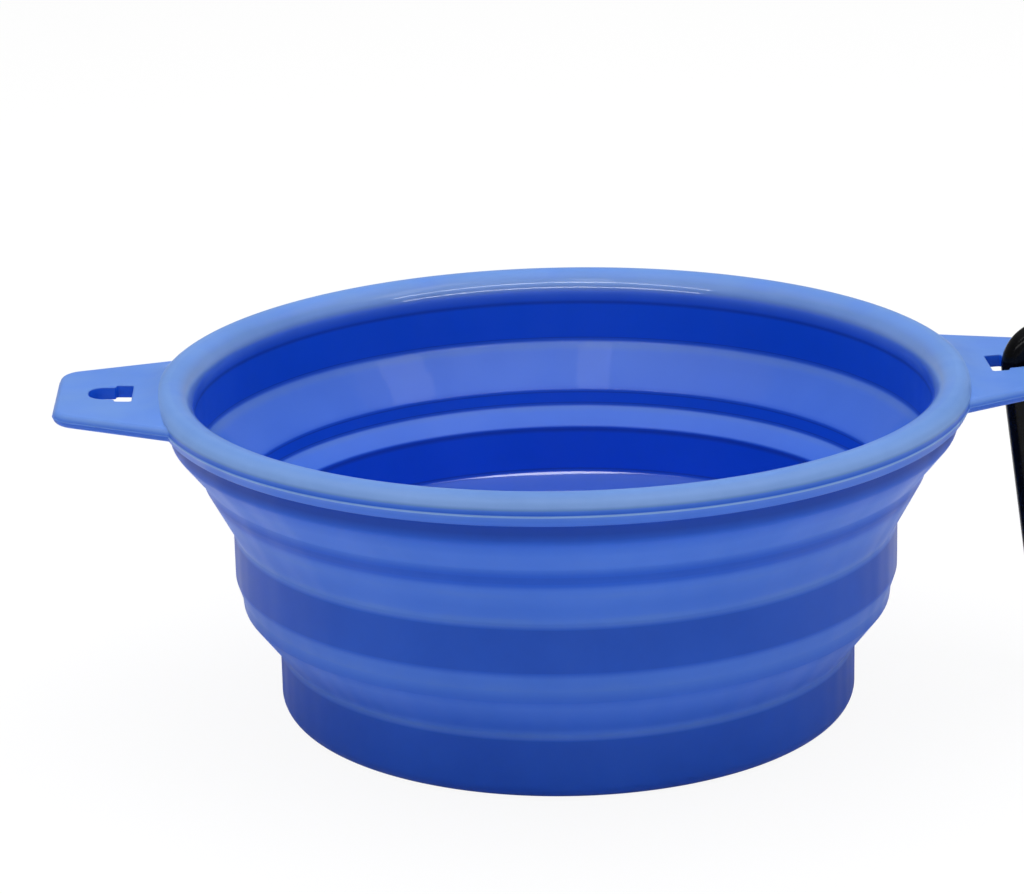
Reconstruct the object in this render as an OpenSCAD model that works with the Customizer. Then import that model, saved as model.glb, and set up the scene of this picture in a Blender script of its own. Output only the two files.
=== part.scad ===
// Collapsible silicone travel bowl with two hanging tabs, and a carabiner through the right-hand tab.
// The bowl stands open on the plane z = 0, with its axis on Z and its tabs along X.

/* [Rim] */
// Diameter across the outside of the lip
rim_d = 130; // [124:0.5:145]
// Width of the lip, from its outside to the inside wall
lip_w = 6.3; // [5.5:0.1:7.5]
// Height of the lip, from its lower edge to its crown
lip_h = 4.65; // [4:0.05:6.5]
// Radius of the outer half of the lip's crown
lip_round = 2.3; // [1.5:0.1:2.8]
// Width of the flat along the top of the crown, between its outer and its inner half
lip_flat = 0.2; // [0.1:0.05:0.6]
// How far the lip stands out past the neck
lip_overhang = 2.3; // [1.2:0.1:3]
// How far the lip draws in below its parting line
lip_taper = 0.7; // [0.2:0.1:1]
// Height of the parting line above the lip's lower edge
parting_up = 1.7; // [1:0.1:1.9]
// Height of the neck between the lip and the upper fold
neck_h = 3.3; // [2:0.1:6]

/* [Upper fold] */
// Height of the upper fold
upper_fold_h = 15.6; // [13:0.1:19]
// How far the step in the upper fold lies inside the neck
upper_step_in = 5.0; // [3.5:0.1:6.5]
// Drop from the top of the upper fold to its step
upper_step_drop = 5.4; // [4:0.1:7]
// Height of the step in the upper fold
upper_step_h = 1.9; // [1:0.1:3]
// How far the step in the upper fold draws in over its height
upper_step_taper = 0.7; // [0.1:0.1:1.2]
// How far the rim's inside wall runs down behind the upper fold
upper_lead = 4.3; // [2:0.1:4.8]
// Height of the inside knee of the upper fold above the middle band
upper_knee_up = 4.3; // [3:0.1:5.5]
// How far the fold's outside slope stands out past that knee
upper_knee_out = 2.58; // [1.5:0.01:3.2]
// Height of the inside heel of the upper fold above the middle band
upper_heel_up = 1.35; // [0.8:0.05:2.3]
// How far that heel lies inside the fold's outside slope
upper_heel_in = 1.27; // [0.9:0.01:2.2]
// Wall of the upper fold at the foot of its step
upper_step_wall = 1.4; // [0.8:0.01:1.8]

/* [Middle band] */
// Outside diameter of the middle band
band_d = 106.6; // [100:0.2:111]
// Height of the middle band
band_h = 8.2; // [6:0.1:12]
// Wall of the middle band
band_wall = 3.5; // [2.5:0.1:4]
// Width of the sloping shelf round the band's upper inside edge
band_shelf_w = 1.5; // [0.8:0.1:2]
// Drop of that shelf
band_shelf_drop = 1.45; // [0.8:0.05:3]

/* [Lower fold] */
// Height of the lower fold
lower_fold_h = 12.1; // [10.5:0.1:15]
// How far the step in the lower fold lies inside the middle band
lower_step_in = 1.1; // [0.6:0.1:1.8]
// Drop from the top of the lower fold to its step
lower_step_drop = 2.8; // [1.5:0.1:4]
// Height of the step in the lower fold
lower_step_h = 2.0; // [1:0.1:3]
// How far the step in the lower fold draws in over its height
lower_step_taper = 0.2; // [0.1:0.1:0.5]
// How far the band's inside wall runs down behind the lower fold
lower_lead = 1.5; // [0.8:0.1:2.4]
// Drop from the top of the lower fold to its inside knee
lower_knee_drop = 4.9; // [4:0.1:6]
// How far that knee lies inside the band's inside wall
lower_knee_in = 1.5; // [0.8:0.1:2]
// Height of the inside heel of the lower fold above the base
lower_heel_up = 1.7; // [1:0.1:2.4]
// How far the fold's outside slope stands out past that heel
lower_heel_out = 0.9; // [0.7:0.01:1.4]

/* [Base] */
// Outside diameter of the base
base_d = 93.2; // [87:0.2:97]
// Height of the base wall
base_h = 10.8; // [9:0.1:15]
// Wall of the base
base_wall = 2.6; // [2:0.1:3.5]
// Thickness of the floor
floor_t = 2.8; // [2:0.1:4]
// Radius of the rounded bottom edge
base_round = 2.5; // [1:0.1:4]
// Radius between the floor and the wall inside
floor_round = 3.0; // [1:0.1:4]
// Width of the sloping shelf round the base's upper inside edge
base_shelf_w = 0.6; // [0.3:0.1:1]
// Drop of that shelf
base_shelf_drop = 1.2; // [0.6:0.1:2]

/* [Tabs] */
// How far a tab stands out past the lip
tab_len = 15.4; // [14.5:0.1:22]
// Width of a tab where it leaves the lip
tab_root_w = 37.0; // [30:0.2:42]
// Width of a tab at its tip
tab_tip_w = 23.7; // [19:0.1:26]
// Thickness of a tab
tab_t = 2.1; // [1.8:0.1:3]
// How far a tab's middle, where it leaves the lip, lies above the parting line
tab_lift = 0.25; // [0:0.05:0.8]
// Angle at which a tab rises outwards
tab_rise = 2.4; // [0:0.2:4]
// Radius of a tab's outer corners
tab_round = 4.5; // [2:0.1:6]
// Width of the strip between the hole and the tip of a tab
tab_strip_w = 5.1; // [4.5:0.1:6.5]
// Length of the hole beyond the thickness of the rod that it takes
hole_slack = 2.5; // [2:0.1:3.5]
// Play at each side of the rod in the narrow part of the hole
hole_play = 1.05; // [0.3:0.05:1.5]
// Extra width, at each side, of the wide part of the hole
hole_ear = 1.1; // [0.5:0.1:2]
// Length of the wide part of the hole
hole_wide_len = 2.7; // [2:0.1:3.5]
// Radius of the corners of the wide part of the hole
hole_round = 0.5; // [0.2:0.1:0.8]

/* [Carabiner] */
// Diameter of the rod
rod_d = 4.4; // [4:0.1:4.8]
// Length of the carabiner over its ends
clip_len = 61.7; // [54:0.1:70]
// Width of the carabiner over its wide end
clip_w = 29.0; // [26:0.2:34]
// Clearance between the rod's upper bend and the corners of the tab's strip
clip_play = 0.3; // [0.3:0.05:0.8]
// Height of the carabiner's lower end above the surface that the bowl stands on
clip_lift = 0.2; // [0:0.1:1]

/* [Gate] */
// Length of whole rod left on the body at each end of the gate
stub_len = 3.0; // [2:0.1:4]
// Gap between the gate and the whole rod at each of its ends
gate_gap = 0.35; // [0.3:0.05:0.6]
// Thickness of the flattened tongues on the body
tongue_t = 1.6; // [1.2:0.1:2]
// Gap at each side of a tongue in the gate's slot
tongue_play = 0.1; // [0.08:0.01:0.2]
// Diameter of the hinge pin
hinge_pin_d = 1.5; // [1.2:0.1:1.8]
// Running clearance of the hinge pin in its tongue, on the radius
hinge_play = 0.05; // [0.02:0.01:0.1]
// Radius of the cam end of the hinge tongue
cam_r = 1.8; // [1.7:0.05:1.9]
// Distance from the hinge pin's axis to the flat of the cam
cam_flat = 1.45; // [1.3:0.05:1.55]
// Length of the hooked nose tongue
nose_len = 5.0; // [4.5:0.1:6]
// Diameter of the nose pin
nose_pin_d = 1.2; // [1:0.1:1.4]
// Clearance round the nose pin in its notch
nose_play = 0.35; // [0.3:0.05:0.45]
// How far each pin stands proud of the rod at each end
pin_proud = 0.1; // [0:0.05:0.3]

/* [Gate spring] */
// Diameter of the bore in the gate
bore_d = 2.2; // [2:0.05:2.4]
// Depth of that bore below the hinge slot
bore_depth = 10; // [8:0.5:14]
// Gap round the plunger and the spring in the bore
bore_play = 0.2; // [0.1:0.05:0.3]
// Length of the plunger's head
plunger_len = 3.2; // [2.5:0.1:4]
// Length of the plunger's tail, inside the spring
tail_len = 1.5; // [1:0.1:2]
// Gap between the plunger and the cam, and between the spring and its seats
seat_gap = 0.05; // [0.02:0.01:0.1]
// Diameter of the spring's wire
wire_d = 0.32; // [0.25:0.01:0.4]
// Number of turns of the spring
spring_turns = 8; // [6:1:9]

/* [Hidden] */

silicone_blue = "#4a70c8";
anodised_black = "#16171a";
steel = "#b9bcc0";

// Facets of round solids, of the rod's cross-section and of rounded corners
round_fn = 120;
rod_fn = 48;
corner_steps = 6;
// Overlap of a cutting solid past the face that it cuts
cut = 1;
// A straight of the rod runs this far into its bends, and is this much slimmer, so that they join cleanly
seam_in = 0.4;
seam_step = 0.1;
// Share of the neck's wall that a tab's root is drawn across before it is cut to the lip's shape
tab_root_share = 0.7;
// How far the gate's ears round past the rod's own radius, and how much narrower than the rod the tongues are
ear_over = 0.2;
tongue_inset = 0.1;

// Heights of the joints between the bowl's rings, from the floor up
base_top_z = base_h;
band_low_z = base_top_z + lower_fold_h;
band_top_z = band_low_z + band_h;
rim_low_z = band_top_z + upper_fold_h;
lip_low_z = rim_low_z + neck_h;
rim_top_z = lip_low_z + lip_h;
parting_z = lip_low_z + parting_up;

// Radii of the bowl's rings
rim_r = rim_d / 2;
rim_in_r = rim_r - lip_w;
neck_r = rim_r - lip_overhang;
band_r = band_d / 2;
band_in_r = band_r - band_wall;
base_r = base_d / 2;
base_in_r = base_r - base_wall;

// Radius of the inner half of the lip's crown, which takes up the rest of the lip's width
lip_in_round = lip_w - lip_round - lip_flat;

// Tabs and their holes, as distances from the bowl's axis before a tab is tilted about the lip's outside
tab_root_z = parting_z + tab_lift;
tab_tip_x = rim_r + tab_len;
tab_root_x = neck_r - tab_root_share * (neck_r - rim_in_r);
hole_out_x = tab_tip_x - tab_strip_w;
hole_in_x = hole_out_x - rod_d - hole_slack;
hole_half_w = rod_d / 2 + hole_play;

// The carabiner: two bends joined by straight legs, with the upper bend round the tab's strip
rod_r = rod_d / 2;
clip_out = tab_len - tab_strip_w / 2;
clip_x = rim_r + clip_out * cos(tab_rise);
clip_z = tab_root_z + clip_out * sin(tab_rise);
clip_top_r = norm([tab_strip_w / 2, tab_t / 2]) + clip_play + rod_r;
clip_low_r = clip_w / 2 - rod_r;
clip_reach = clip_len - rod_d - clip_top_r - clip_low_r;
clip_half = asin((clip_low_r - clip_top_r) / clip_reach);
leg_len = clip_reach * cos(clip_half);
// It leans out until its lower end stands on the same surface as the bowl, or hangs straight if it is short
clip_lean = acos(min(1, (clip_z - clip_lift - clip_low_r - rod_r) / clip_reach));

// Heights along the gate's leg, counted from the end of the upper bend
ear_r = rod_r + ear_over;
hinge_z = -(stub_len + gate_gap + ear_r);
nose_z = -(leg_len - stub_len);
gate_low_z = nose_z + gate_gap;
nose_top_z = nose_z + nose_len;
nose_pin_z = nose_z + nose_len / 2;
leg_d = rod_d - seam_step;
tongue_w = 2 * sqrt(pow(leg_d / 2, 2) - pow(tongue_t / 2, 2)) - tongue_inset;
slot_w = tongue_t + 2 * tongue_play;
hinge_slot_z = hinge_z - cam_r - gate_gap;
nose_slot_z = nose_top_z + gate_gap + tongue_play;
bore_low_z = hinge_slot_z - bore_depth;
plunger_top_z = hinge_z - cam_flat - seat_gap;
plunger_low_z = plunger_top_z - plunger_len;
spring_top_z = plunger_low_z - seat_gap;
spring_low_z = bore_low_z + seat_gap;
spring_r = bore_d / 2 - bore_play - wire_d / 2;

// Points of the corner at p, between its neighbours a and b, rounded to the radius in p[2]
function corner(a, p, b) =
    let (
        here = [p.x, p.y],
        to_a = ([a.x, a.y] - here) / norm([a.x, a.y] - here),
        to_b = ([b.x, b.y] - here) / norm([b.x, b.y] - here),
        half = acos(to_a * to_b) / 2,
        centre = here + (to_a + to_b) / norm(to_a + to_b) * p[2] / sin(half),
        start = here + to_a * p[2] / tan(half) - centre,
        turn = (to_a.x * to_b.y - to_a.y * to_b.x > 0 ? -1 : 1) * (180 - 2 * half)
    )
    [for (i = [0:corner_steps])
        let (t = turn * i / corner_steps)
        centre + [start.x * cos(t) - start.y * sin(t), start.x * sin(t) + start.y * cos(t)]];

// Radius, at a height, of the straight line between two points [radius, height]
function slope_r(low, high, z) = low.x + (high.x - low.x) * (z - low.y) / (high.y - low.y);

// A closed outline from points [x, y, corner radius]
function rounded(points) =
    let (count = len(points))
    [for (i = [0:count - 1])
        let (p = points[i])
        each p[2] > 0
            ? corner(points[(i + count - 1) % count], p, points[(i + 1) % count])
            : [[p.x, p.y]]];

// A ring of the bowl, turned from points [radius, height, corner radius]
module turned(points) {
    rotate_extrude($fn = round_fn) polygon(rounded(points));
}

// A flat shape drawn in x and z, given a thickness along y
module plate(thickness) {
    rotate([90, 0, 0]) linear_extrude(thickness, center = true) children();
}

// A round bar along y
module cross_bar(d, length) {
    rotate([90, 0, 0]) cylinder(d = d, h = length, center = true, $fn = rod_fn);
}

module rim_ring() {
    color(silicone_blue) turned([
        [rim_in_r, rim_low_z, 0],
        [neck_r, rim_low_z, 0],
        [neck_r, lip_low_z, lip_taper / 2],
        [rim_r - lip_taper, lip_low_z, lip_taper / 2],
        [rim_r, parting_z, 0],
        [rim_r, rim_top_z, lip_round],
        [rim_in_r, rim_top_z, lip_in_round]
    ]);
}

// Plan of a tab, pointing along +X
module tab_plan() {
    slope = (tab_root_w - tab_tip_w) / 2 / tab_len;
    root_half_w = tab_root_w / 2 + slope * (rim_r - tab_root_x);
    polygon(rounded([
        [tab_root_x, -root_half_w, 0],
        [tab_tip_x, -tab_tip_w / 2, tab_round],
        [tab_tip_x, tab_tip_w / 2, tab_round],
        [tab_root_x, root_half_w, 0]
    ]));
}

// Plan of the keyhole in a tab
module hole_plan() {
    wide_half_w = hole_half_w + hole_ear;
    step_x = hole_in_x + hole_wide_len;
    polygon(rounded([
        [hole_in_x, -wide_half_w, hole_round],
        [step_x, -wide_half_w, hole_round],
        [step_x, -hole_half_w, 0],
        [hole_out_x, -hole_half_w, hole_half_w - hole_play / 2],
        [hole_out_x, hole_half_w, hole_half_w - hole_play / 2],
        [step_x, hole_half_w, 0],
        [step_x, wide_half_w, hole_round],
        [hole_in_x, wide_half_w, hole_round]
    ]));
}

// A tab pointing along +X, cut at its root to the lip's own shape
module tab() {
    difference() {
        translate([rim_r, 0, tab_root_z]) rotate([0, -tab_rise, 0]) translate([-rim_r, 0, -tab_t / 2])
            linear_extrude(tab_t) difference() {
                tab_plan();
                hole_plan();
            }
        rim_ring();
    }
}

module left_tab() {
    color(silicone_blue) mirror([1, 0, 0]) tab();
}

module right_tab() {
    color(silicone_blue) tab();
}

module upper_fold() {
    step_top_z = rim_low_z - upper_step_drop;
    foot = [band_r, band_top_z];
    step = [neck_r - upper_step_in, step_top_z - upper_step_h];
    knee_z = band_top_z + upper_knee_up;
    heel_z = band_top_z + upper_heel_up;
    color(silicone_blue) turned([
        [band_in_r + band_shelf_w, band_top_z, 0],
        [foot.x, foot.y, 0],
        [step.x, step.y, upper_step_taper],
        [step.x + upper_step_taper, step_top_z, upper_step_taper],
        [neck_r, rim_low_z, 0],
        [rim_in_r, rim_low_z, 0],
        [rim_in_r, rim_low_z - upper_lead, upper_step_taper],
        [step.x - upper_step_wall, step.y, 0],
        [slope_r(foot, step, knee_z) - upper_knee_out, knee_z, upper_step_taper],
        [slope_r(foot, step, heel_z) - upper_heel_in, heel_z, 0]
    ]);
}

module middle_band() {
    color(silicone_blue) turned([
        [band_in_r, band_low_z, 0],
        [band_r, band_low_z, 0],
        [band_r, band_top_z, 0],
        [band_in_r + band_shelf_w, band_top_z, 0],
        [band_in_r, band_top_z - band_shelf_drop, band_shelf_w / 2]
    ]);
}

module lower_fold() {
    step_top_z = band_low_z - lower_step_drop;
    foot = [base_r, base_top_z];
    step = [band_r - lower_step_in, step_top_z - lower_step_h];
    heel_z = base_top_z + lower_heel_up;
    color(silicone_blue) turned([
        [base_in_r + base_shelf_w, base_top_z, 0],
        [foot.x, foot.y, 0],
        [step.x, step.y, lower_step_in / 2],
        [step.x + lower_step_taper, step_top_z, lower_step_in / 2],
        [band_r, band_low_z, 0],
        [band_in_r, band_low_z, 0],
        [band_in_r, band_low_z - lower_lead, lower_step_in / 2],
        [band_in_r - lower_knee_in, band_low_z - lower_knee_drop, lower_step_in / 2],
        [slope_r(foot, step, heel_z) - lower_heel_out, heel_z, 0]
    ]);
}

module base_cup() {
    color(silicone_blue) turned([
        [0, 0, 0],
        [base_r, 0, base_round],
        [base_r, base_top_z, 0],
        [base_in_r + base_shelf_w, base_top_z, 0],
        [base_in_r, base_top_z - base_shelf_drop, base_shelf_w / 2],
        [base_in_r, floor_t, floor_round],
        [0, floor_t, 0]
    ]);
}

// Place of the carabiner: its upper bend's centre is the origin, and its length runs down
module clip_place() {
    translate([clip_x, 0, clip_z]) rotate([0, -clip_lean, 0]) children();
}

// Place of the gate's leg: the end of the upper bend is the origin, and the leg runs straight down
module leg_place() {
    clip_place() rotate([0, -clip_half, 0]) translate([clip_top_r, 0, 0]) children();
}

// A bend of the rod in the plane of the carabiner, counted from +X towards +Z
module rod_bend(r, from, to) {
    rotate([90, 0, 0]) rotate([0, 0, from])
        rotate_extrude(angle = to - from, $fn = round_fn) translate([r, 0]) circle(d = rod_d, $fn = rod_fn);
}

// A straight of the rod between two heights
module rod_straight(top_z, low_z, d = rod_d) {
    translate([0, 0, low_z]) cylinder(d = d, h = top_z - low_z, $fn = rod_fn);
}

// Tongue that carries the hinge pin, with a flat on its cam end for the plunger
module hinge_tongue() {
    plate(tongue_t) difference() {
        intersection() {
            union() {
                translate([-tongue_w / 2, hinge_z]) square([tongue_w, seam_in - stub_len - hinge_z]);
                translate([0, hinge_z]) circle(r = cam_r, $fn = rod_fn);
            }
            translate([-rod_d, hinge_z - cam_flat]) square([2 * rod_d, cam_flat + rod_d]);
        }
        translate([0, hinge_z]) circle(d = hinge_pin_d + 2 * hinge_play, $fn = rod_fn);
    }
}

// Tongue whose notch holds the nose pin while the gate is shut
module nose_tongue() {
    notch_r = nose_pin_d / 2 + nose_play;
    plate(tongue_t) difference() {
        translate([-tongue_w / 2, nose_z - seam_in]) square([tongue_w, nose_len + seam_in]);
        translate([0, nose_pin_z]) circle(r = notch_r, $fn = rod_fn);
        translate([-rod_d, nose_pin_z - notch_r]) square([rod_d, 2 * notch_r]);
    }
}

module carabiner_body() {
    color(anodised_black) {
        clip_place() {
            rod_bend(clip_top_r, clip_half, 180 - clip_half);
            rotate([0, clip_half, 0]) translate([-clip_top_r, 0, 0])
                rod_straight(seam_in, -leg_len - seam_in, leg_d);
            translate([0, 0, -clip_reach]) rod_bend(clip_low_r, 180 - clip_half, 360 + clip_half);
        }
        leg_place() {
            rod_straight(seam_in, -stub_len, leg_d);
            rod_straight(nose_z, -leg_len - seam_in, leg_d);
            hinge_tongue();
            nose_tongue();
        }
    }
}

module carabiner_gate() {
    color(anodised_black) leg_place() difference() {
        intersection() {
            rod_straight(hinge_z + ear_r, gate_low_z);
            plate(2 * rod_d) {
                translate([-rod_d, gate_low_z - cut]) square([2 * rod_d, hinge_z - gate_low_z + cut]);
                translate([0, hinge_z]) circle(r = ear_r, $fn = rod_fn);
            }
        }
        plate(slot_w) {
            translate([-rod_d, hinge_slot_z]) square([2 * rod_d, hinge_z + ear_r - hinge_slot_z + cut]);
            translate([-rod_d, gate_low_z - cut]) square([2 * rod_d, nose_slot_z - gate_low_z + cut]);
        }
        translate([0, 0, hinge_z]) cross_bar(hinge_pin_d, 2 * rod_d);
        translate([0, 0, nose_pin_z]) cross_bar(nose_pin_d, 2 * rod_d);
        translate([0, 0, bore_low_z]) cylinder(d = bore_d, h = bore_depth + cut, $fn = rod_fn);
    }
}

module gate_hinge_pin() {
    color(steel) leg_place() translate([0, 0, hinge_z]) cross_bar(hinge_pin_d, rod_d + 2 * pin_proud);
}

module gate_nose_pin() {
    color(steel) leg_place() translate([0, 0, nose_pin_z]) cross_bar(nose_pin_d, rod_d + 2 * pin_proud);
}

module gate_plunger() {
    tail_d = 2 * (spring_r - wire_d / 2 - bore_play);
    color(steel) leg_place() {
        translate([0, 0, plunger_low_z]) cylinder(d = bore_d - 2 * bore_play, h = plunger_len, $fn = rod_fn);
        translate([0, 0, plunger_low_z - tail_len]) cylinder(d = tail_d, h = tail_len, $fn = rod_fn);
    }
}

// The spring is one tube swept along a helix, with open ends cut square to the wire
module gate_spring() {
    sides = 6;
    rings_per_turn = 8;
    last = spring_turns * rings_per_turn;
    run = spring_top_z - spring_low_z - wire_d;
    points = [for (i = [0:last], k = [0:sides - 1])
        let (turn = 360 * i / rings_per_turn, side = 360 * k / sides, r = spring_r + wire_d / 2 * cos(side))
        [r * cos(turn), r * sin(turn), spring_low_z + wire_d / 2 + run * i / last + wire_d / 2 * sin(side)]];
    walls = [for (i = [0:last - 1], k = [0:sides - 1])
        let (a = i * sides + k, b = i * sides + (k + 1) % sides)
        each [[a, a + sides, b], [b, a + sides, b + sides]]];
    caps = [for (k = [1:sides - 2])
        each [[0, k, k + 1], [last * sides, last * sides + k + 1, last * sides + k]]];
    color(steel) leg_place() polyhedron(points, concat(walls, caps));
}

rim_ring();
left_tab();
right_tab();
upper_fold();
middle_band();
lower_fold();
base_cup();
carabiner_body();
carabiner_gate();
gate_hinge_pin();
gate_nose_pin();
gate_plunger();
gate_spring();
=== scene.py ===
import math

import bmesh
import bpy
from mathutils import Matrix, Vector


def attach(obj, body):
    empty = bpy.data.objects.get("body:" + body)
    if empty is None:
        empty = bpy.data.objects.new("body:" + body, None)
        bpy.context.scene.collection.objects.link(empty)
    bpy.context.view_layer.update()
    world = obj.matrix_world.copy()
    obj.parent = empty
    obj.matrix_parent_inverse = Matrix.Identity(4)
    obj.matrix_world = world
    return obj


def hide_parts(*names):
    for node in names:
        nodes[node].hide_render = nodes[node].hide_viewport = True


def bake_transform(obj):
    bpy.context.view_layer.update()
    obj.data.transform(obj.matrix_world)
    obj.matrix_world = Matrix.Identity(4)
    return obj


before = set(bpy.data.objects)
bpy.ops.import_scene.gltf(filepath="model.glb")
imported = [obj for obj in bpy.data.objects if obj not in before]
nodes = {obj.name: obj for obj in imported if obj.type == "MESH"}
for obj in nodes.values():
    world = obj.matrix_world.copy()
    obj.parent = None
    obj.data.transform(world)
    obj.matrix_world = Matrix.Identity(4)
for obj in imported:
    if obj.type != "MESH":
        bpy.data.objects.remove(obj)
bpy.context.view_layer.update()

scene = bpy.context.scene
MM = 0.001


# Sizes of the bowl's rings in millimetres, from the base up. Radii are to the outside of a wall

BASE_R = 46.6
BASE_WALL = 2.6
BASE_H = 10.8
BASE_ROUND = 2.5
BASE_SHELF_W = 0.6
BASE_SHELF_DROP = 1.2
FLOOR_T = 2.8
FLOOR_ROUND = 3.0
LOWER_FOLD_H = 12.1
LOWER_LEAD = 1.5
BAND_R = 53.3
BAND_WALL = 3.5
BAND_H = 8.2
BAND_SHELF_DROP = 1.45
UPPER_FOLD_H = 15.6
UPPER_LEAD = 4.3
NECK_H = 3.3
LIP_R = 65.0
LIP_W = 6.3
LIP_H = 4.65
LIP_ROUND = 2.3
LIP_IN_ROUND = 3.8
LIP_OVERHANG = 2.3
LIP_TAPER = 0.7
PARTING_UP = 1.7

BASE_IN_R = BASE_R - BASE_WALL
BAND_IN_R = BAND_R - BAND_WALL
NECK_R = LIP_R - LIP_OVERHANG
MOUTH_R = LIP_R - LIP_W
BAND_LOW_Z = BASE_H + LOWER_FOLD_H
BAND_TOP_Z = BAND_LOW_Z + BAND_H
RIM_LOW_Z = BAND_TOP_Z + UPPER_FOLD_H
LIP_LOW_Z = RIM_LOW_Z + NECK_H
LIP_TOP_Z = LIP_LOW_Z + LIP_H
PARTING_Z = LIP_LOW_Z + PARTING_UP

# Corners of the folds' walls, as (radius, height)
LOWER_STEP_LOW = (52.2, 18.1)
LOWER_STEP_TOP = (52.4, 20.1)
LOWER_KNEE = (48.3, 18.0)
LOWER_HEEL = (47.0, 12.5)
UPPER_STEP_LOW = (57.7, 39.4)
UPPER_STEP_TOP = (58.4, 41.3)
UPPER_STEP_IN = (56.3, 39.4)
UPPER_KNEE = (53.0, 35.4)
UPPER_HEEL = (52.75, 32.45)

# Where one ring's mesh ends and the next begins, just off a corner and on a plain wall
BASE_JOINT_OUT = (BASE_R, BASE_H - 0.4)
BASE_JOINT_IN = (BASE_IN_R + BASE_SHELF_W / 2, BASE_H - BASE_SHELF_DROP / 2)
BAND_JOINT_Z = BAND_LOW_Z + 0.4
UPPER_JOINT_OUT = (BAND_R, BAND_TOP_Z - 0.4)
UPPER_JOINT_IN = (BAND_IN_R + 1.0, BAND_TOP_Z - 0.5)
RIM_JOINT_Z = RIM_LOW_Z + 0.5

# Heights of extra rows of points on the outside of the base and the band, where a painted highlight runs
# along their upper edges
BASE_PAINTED_HIGHLIGHT_Z = (9.7, 10.1)
BAND_PAINTED_HIGHLIGHT_Z = 30.1


# How the silicone's painted light and shade, and its gloss, change with height, as (height, share)

# Painted light and shade outside: a painted sheen on the lip's top, painted highlights on the parting bead
# and along the ridges, paler down-facing slopes and lip underside where light falls, and painted shade on
# the neck under the lip
PAINTED_LIGHT_AND_SHADE_OUT = [
    (BASE_PAINTED_HIGHLIGHT_Z[0], 0.075), (10.2, 0.48), (11.3, 0.46), (11.9, 0.28), (12.6, 0.24), (16.6, 0.42),
    (17.5, 0.34), (18.4, 0.22), (20.0, 0.46), (22.4, 0.42), (23.3, 0.072), (BAND_PAINTED_HIGHLIGHT_Z, 0.072),
    (30.7, 0.46), (31.6, 0.50), (32.6, 0.40), (34.0, 0.38), (36.4, 0.46), (37.6, 0.42), (38.4, 0.074),
    (40.2, 0.074), (41.6, 0.44), (44.2, 0.44), (46.0, 0.26), (47.4, 0.05), (49.9, 0.04), (50.3, 0.44),
    (51.50, 0.36), (51.60, 1.0), (51.80, 1.0), (51.95, 0.08), (52.4, 0.36), (53.0, 0.95), (53.9, 0.86),
    (54.5, 0.66),
]
# Painted light inside, on the fold slopes and on the lip, paler where light falls on them
PAINTED_LIGHT_IN = [
    (17.0, 0.30), (21.0, 0.42), (21.7, 0.0), (29.3, 0.0), (29.8, 0.36), (31.5, 0.42), (32.3, 0.52),
    (32.8, 0.0), (34.8, 0.0), (36.0, 0.34), (40.8, 0.42), (41.9, 0.54), (42.3, 0.50), (43.0, 0.0),
    (49.6, 0.0), (51.4, 0.42), (52.6, 0.80), (53.6, 0.62),
]
# Clear gloss, which only the inside has
GLOSS_IN = [
    (19.8, 0.1), (20.6, 0.9), (21.4, 0.9), (21.9, 0.1), (34.8, 0.1), (35.6, 0.45), (42.0, 0.45),
    (42.8, 0.1), (50.2, 0.1), (51.0, 0.9), (53.7, 0.9), (54.4, 0.1),
]
# Radius of the middle of the wall by height, which parts the outside from the inside
MID_WALL = [
    (0, 45.3), (10.8, 45.6), (18, 50.2), (23, 51.5), (31, 52.1), (35, 54.3), (39.4, 57.0), (42, 58.7),
    (47, 60.7), (54.65, 62.5),
]


# Outlines and meshes, drawn in millimetres and kept in metres

LEAST_ARC_STEPS = 3
SHARPEST_MITRE = 0.4
SAME_POINT = 1e-4
ON_AXIS = 1e-6


def rounded(points, step=8.0):
    """A closed outline from points (x, y, corner radius), each rounded corner drawn as an arc."""
    out = []
    count = len(points)
    for i, (x, y, r) in enumerate(points):
        here = Vector((x, y))
        if r <= 0:
            out.append(here)
            continue
        to_a = (Vector(points[i - 1][:2]) - here).normalized()
        to_b = (Vector(points[(i + 1) % count][:2]) - here).normalized()
        half = math.acos(max(-1.0, min(1.0, to_a.dot(to_b)))) / 2
        centre = here + (to_a + to_b).normalized() * (r / math.sin(half))
        start = here + to_a * (r / math.tan(half)) - centre
        turn = math.pi - 2 * half
        if to_a.x * to_b.y - to_a.y * to_b.x > 0:
            turn = -turn
        steps = max(LEAST_ARC_STEPS, math.ceil(math.degrees(abs(turn)) / step))
        for k in range(steps + 1):
            out.append(centre + Matrix.Rotation(turn * k / steps, 2) @ start)
    return out


def arc(centre, r, first, last, parts):
    """Points along an arc, between two angles in degrees counted from X towards Y."""
    angles = [math.radians(first + (last - first) * k / parts) for k in range(parts + 1)]
    return [Vector(centre) + Vector((math.cos(a), math.sin(a))) * r for a in angles]


def divided(outline, longest):
    """The same closed outline, with no straight longer than the given length."""
    out = []
    for a, b in zip(outline, outline[1:] + outline[:1]):
        parts = max(1, math.ceil((b - a).length / longest))
        out += [a.lerp(b, k / parts) for k in range(parts)]
    return out


def offset(loop, distance):
    """A counter-clockwise loop moved inwards by a distance."""
    out = []
    for i, p in enumerate(loop):
        before = (p - loop[i - 1]).normalized()
        after = (loop[(i + 1) % len(loop)] - p).normalized()
        inward = Vector((-before.y - after.y, before.x + after.x)).normalized()
        mitre = max(SHARPEST_MITRE, inward.dot(Vector((-before.y, before.x))))
        out.append(p + inward * (distance / mitre))
    return out


def between(stops, at):
    """The value at a place on a line through stops (place, value)."""
    for (a, low), (b, high) in zip(stops, stops[1:]):
        if at <= b:
            return low + (high - low) * max(0.0, at - a) / (b - a)
    return stops[-1][1]


def around_circle(count):
    """Angles of points spaced evenly round a circle."""
    return [2 * math.pi * k / count for k in range(count)]


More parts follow.
